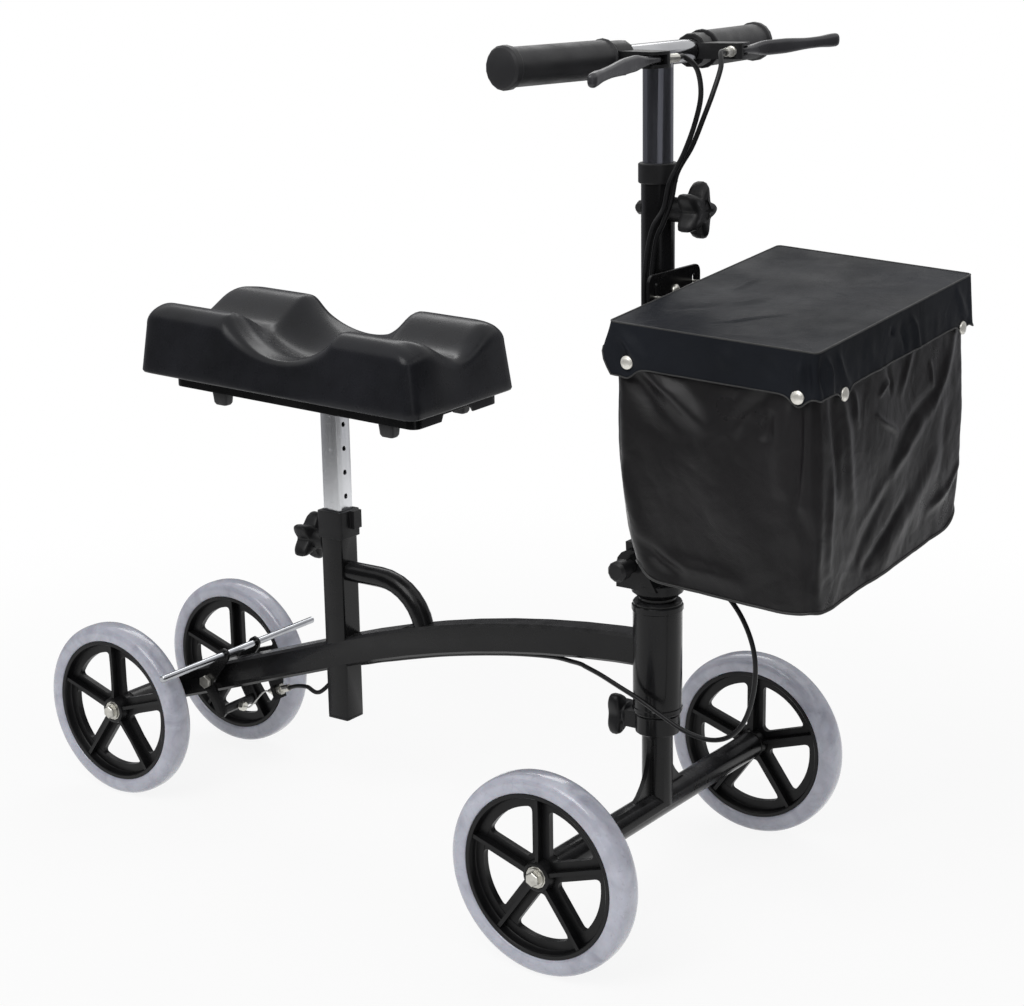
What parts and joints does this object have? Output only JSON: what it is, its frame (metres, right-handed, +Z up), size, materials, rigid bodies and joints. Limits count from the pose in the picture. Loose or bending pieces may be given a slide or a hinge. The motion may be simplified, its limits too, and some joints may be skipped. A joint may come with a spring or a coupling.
{
  "type": "knee walker",
  "caption": "Steerable knee walker with a contoured knee pad on a post, swept handlebar with brake levers, rear rod brake and a lidded cloth bag",
  "frame": {"origin": "centre of the bounding box in plan, on the floor", "axes": "+X forward towards the bag, +Y to the rider's left, +Z up"},
  "size_m": [1.0084, 0.4444, 0.8592],
  "materials": {
    "frame_paint": "satin",
    "black_plastic": "matte",
    "rim_plastic": "satin",
    "grey_tyre": "satin",
    "pad_skin": "satin",
    "bag_cloth": "matte",
    "grip_rubber": "matte",
    "lever_paint": "satin",
    "cable_jacket": "satin",
    "chrome": "polished",
    "polished_steel": "satin",
    "zinc": "satin"
  },
  "bodies": {
    "frame": {"main_frame": "frame_paint", "seat_tube_sleeve": "black_plastic", "seat_tube_plug": "black_plastic", "headset_cup_lower": "frame_paint", "headset_cup_upper": "frame_paint", "rear_cable_adjuster": "zinc", "brake_pivot_bolt": "zinc", "rear_right_axle_bolt": "zinc", "rear_left_axle_bolt": "zinc", "brake_cable_rear": "cable_jacket", "brake_wire": "zinc"},
    "brake": {"brake_rocker": "frame_paint", "brake_rod": "chrome", "pinch_bolt": "zinc"},
    "seat_knob": {"seat_knob": "black_plastic"},
    "seat": {"seat_post": "polished_steel", "pad_plate": "black_plastic", "knee_pad": "pad_skin"},
    "steering": {"front_fork": "frame_paint", "clamp_collar": "frame_paint", "fold_yoke": "frame_paint", "fold_bolt": "frame_paint", "front_right_axle_bolt": "zinc", "front_left_axle_bolt": "zinc", "brake_cable_front": "cable_jacket"},
    "collar_knob": {"collar_knob": "black_plastic"},
    "fold_knob": {"fold_knob": "black_plastic"},
    "column": {"lower_stem": "frame_paint", "stem_collar": "black_plastic", "basket_bracket": "frame_paint", "bracket_bolt": "zinc", "bag_body": "bag_cloth", "bag_wire": "frame_paint", "cable_junction": "black_plastic"},
    "bag_lid": {"bag_lid": "bag_cloth"},
    "stem_knob": {"stem_knob": "black_plastic"},
    "handlebar": {"handlebar": "chrome", "right_grip": "grip_rubber", "left_grip": "grip_rubber", "right_lever_clamp": "black_plastic", "left_lever_clamp": "black_plastic", "right_cable_adjuster": "zinc", "left_cable_adjuster": "zinc", "brake_cable_right": "cable_jacket", "brake_cable_left": "cable_jacket"},
    "right_lever": {"right_brake_lever": "lever_paint"},
    "left_lever": {"left_brake_lever": "lever_paint"},
    "front_right_wheel": {"front_right_tyre": "grey_tyre", "front_right_rim": "rim_plastic", "front_right_bearing": "zinc"},
    "front_left_wheel": {"front_left_tyre": "grey_tyre", "front_left_rim": "rim_plastic", "front_left_bearing": "zinc"},
    "rear_right_wheel": {"rear_right_tyre": "grey_tyre", "rear_right_rim": "rim_plastic", "rear_right_bearing": "zinc"},
    "rear_left_wheel": {"rear_left_tyre": "grey_tyre", "rear_left_rim": "rim_plastic", "rear_left_bearing": "zinc"}
  },
  "joints": [
    {"name": "steer", "type": "hinge", "parent": "frame", "child": "steering", "pos_m": [0.25375, 0, 0.1], "axis": [0, 0, 1], "range_deg": [-40, 40], "deforming": ["brake_cable_front"]},
    {"name": "column_fold", "type": "hinge", "parent": "steering", "child": "column", "pos_m": [0.23775, 0, 0.352], "axis": [0, -1, 0], "range_deg": [0, 35], "deforming": ["brake_cable_front"]},
    {"name": "bar_slide", "type": "slide", "parent": "column", "child": "handlebar", "axis": [0, 0, 1], "range_m": [-0.06, 0.13], "deforming": ["brake_cable_right", "brake_cable_left"]},
    {"name": "seat_slide", "type": "slide", "parent": "frame", "child": "seat", "axis": [0, 0, 1], "range_m": [-0.08, 0.05]},
    {"name": "lid_hinge", "type": "hinge", "parent": "column", "child": "bag_lid", "pos_m": [0.29775, 0, 0.6263], "axis": [0, -1, 0], "range_deg": [0, 50]},
    {"name": "right_lever_pull", "type": "hinge", "parent": "handlebar", "child": "right_lever", "pos_m": [0.29605, -0.0754, 0.84], "axis": [0, 0, -1], "range_deg": [0, 20], "stiffness_Nm_per_rad": 1.5, "springref_deg": -11.46},
    {"name": "left_lever_pull", "type": "hinge", "parent": "handlebar", "child": "left_lever", "pos_m": [0.29605, 0.0754, 0.84], "axis": [0, 0, 1], "range_deg": [0, 20], "stiffness_Nm_per_rad": 1.5, "springref_deg": -11.46},
    {"name": "rear_brake", "type": "hinge", "parent": "frame", "child": "brake", "pos_m": [-0.33625, 0, 0.12319], "axis": [0, -1, 0], "range_deg": [0, 20], "deforming": ["brake_wire"]},
    {"name": "seat_knob_turn", "type": "hinge", "parent": "frame", "child": "seat_knob", "pos_m": [-0.15275, 0, 0.311], "axis": [1, 0, 0], "continuous": true},
    {"name": "collar_knob_turn", "type": "hinge", "parent": "steering", "child": "collar_knob", "pos_m": [0.22375, 0, 0.189], "axis": [1, 0, 0], "continuous": true},
    {"name": "stem_knob_turn", "type": "hinge", "parent": "column", "child": "stem_knob", "pos_m": [0.28375, 0, 0.698], "axis": [1, 0, 0], "continuous": true},
    {"name": "fold_knob_turn", "type": "hinge", "parent": "steering", "child": "fold_knob", "pos_m": [0.23775, 0, 0.352], "axis": [0, 1, 0], "continuous": true},
    {"name": "front_right_spin", "type": "hinge", "parent": "steering", "child": "front_right_wheel", "pos_m": [0.25375, -0.202, 0.1], "axis": [0, 1, 0], "continuous": true},
    {"name": "front_left_spin", "type": "hinge", "parent": "steering", "child": "front_left_wheel", "pos_m": [0.25375, 0.202, 0.1], "axis": [0, 1, 0], "continuous": true},
    {"name": "rear_right_spin", "type": "hinge", "parent": "frame", "child": "rear_right_wheel", "pos_m": [-0.40425, -0.1, 0.1], "axis": [0, 1, 0], "continuous": true},
    {"name": "rear_left_spin", "type": "hinge", "parent": "frame", "child": "rear_left_wheel", "pos_m": [-0.40425, 0.1, 0.1], "axis": [0, 1, 0], "continuous": true}
  ],
  "couplings": [
    {"joint": "rear_brake", "follows": "right_lever_pull", "ratio": 1}
  ]
}
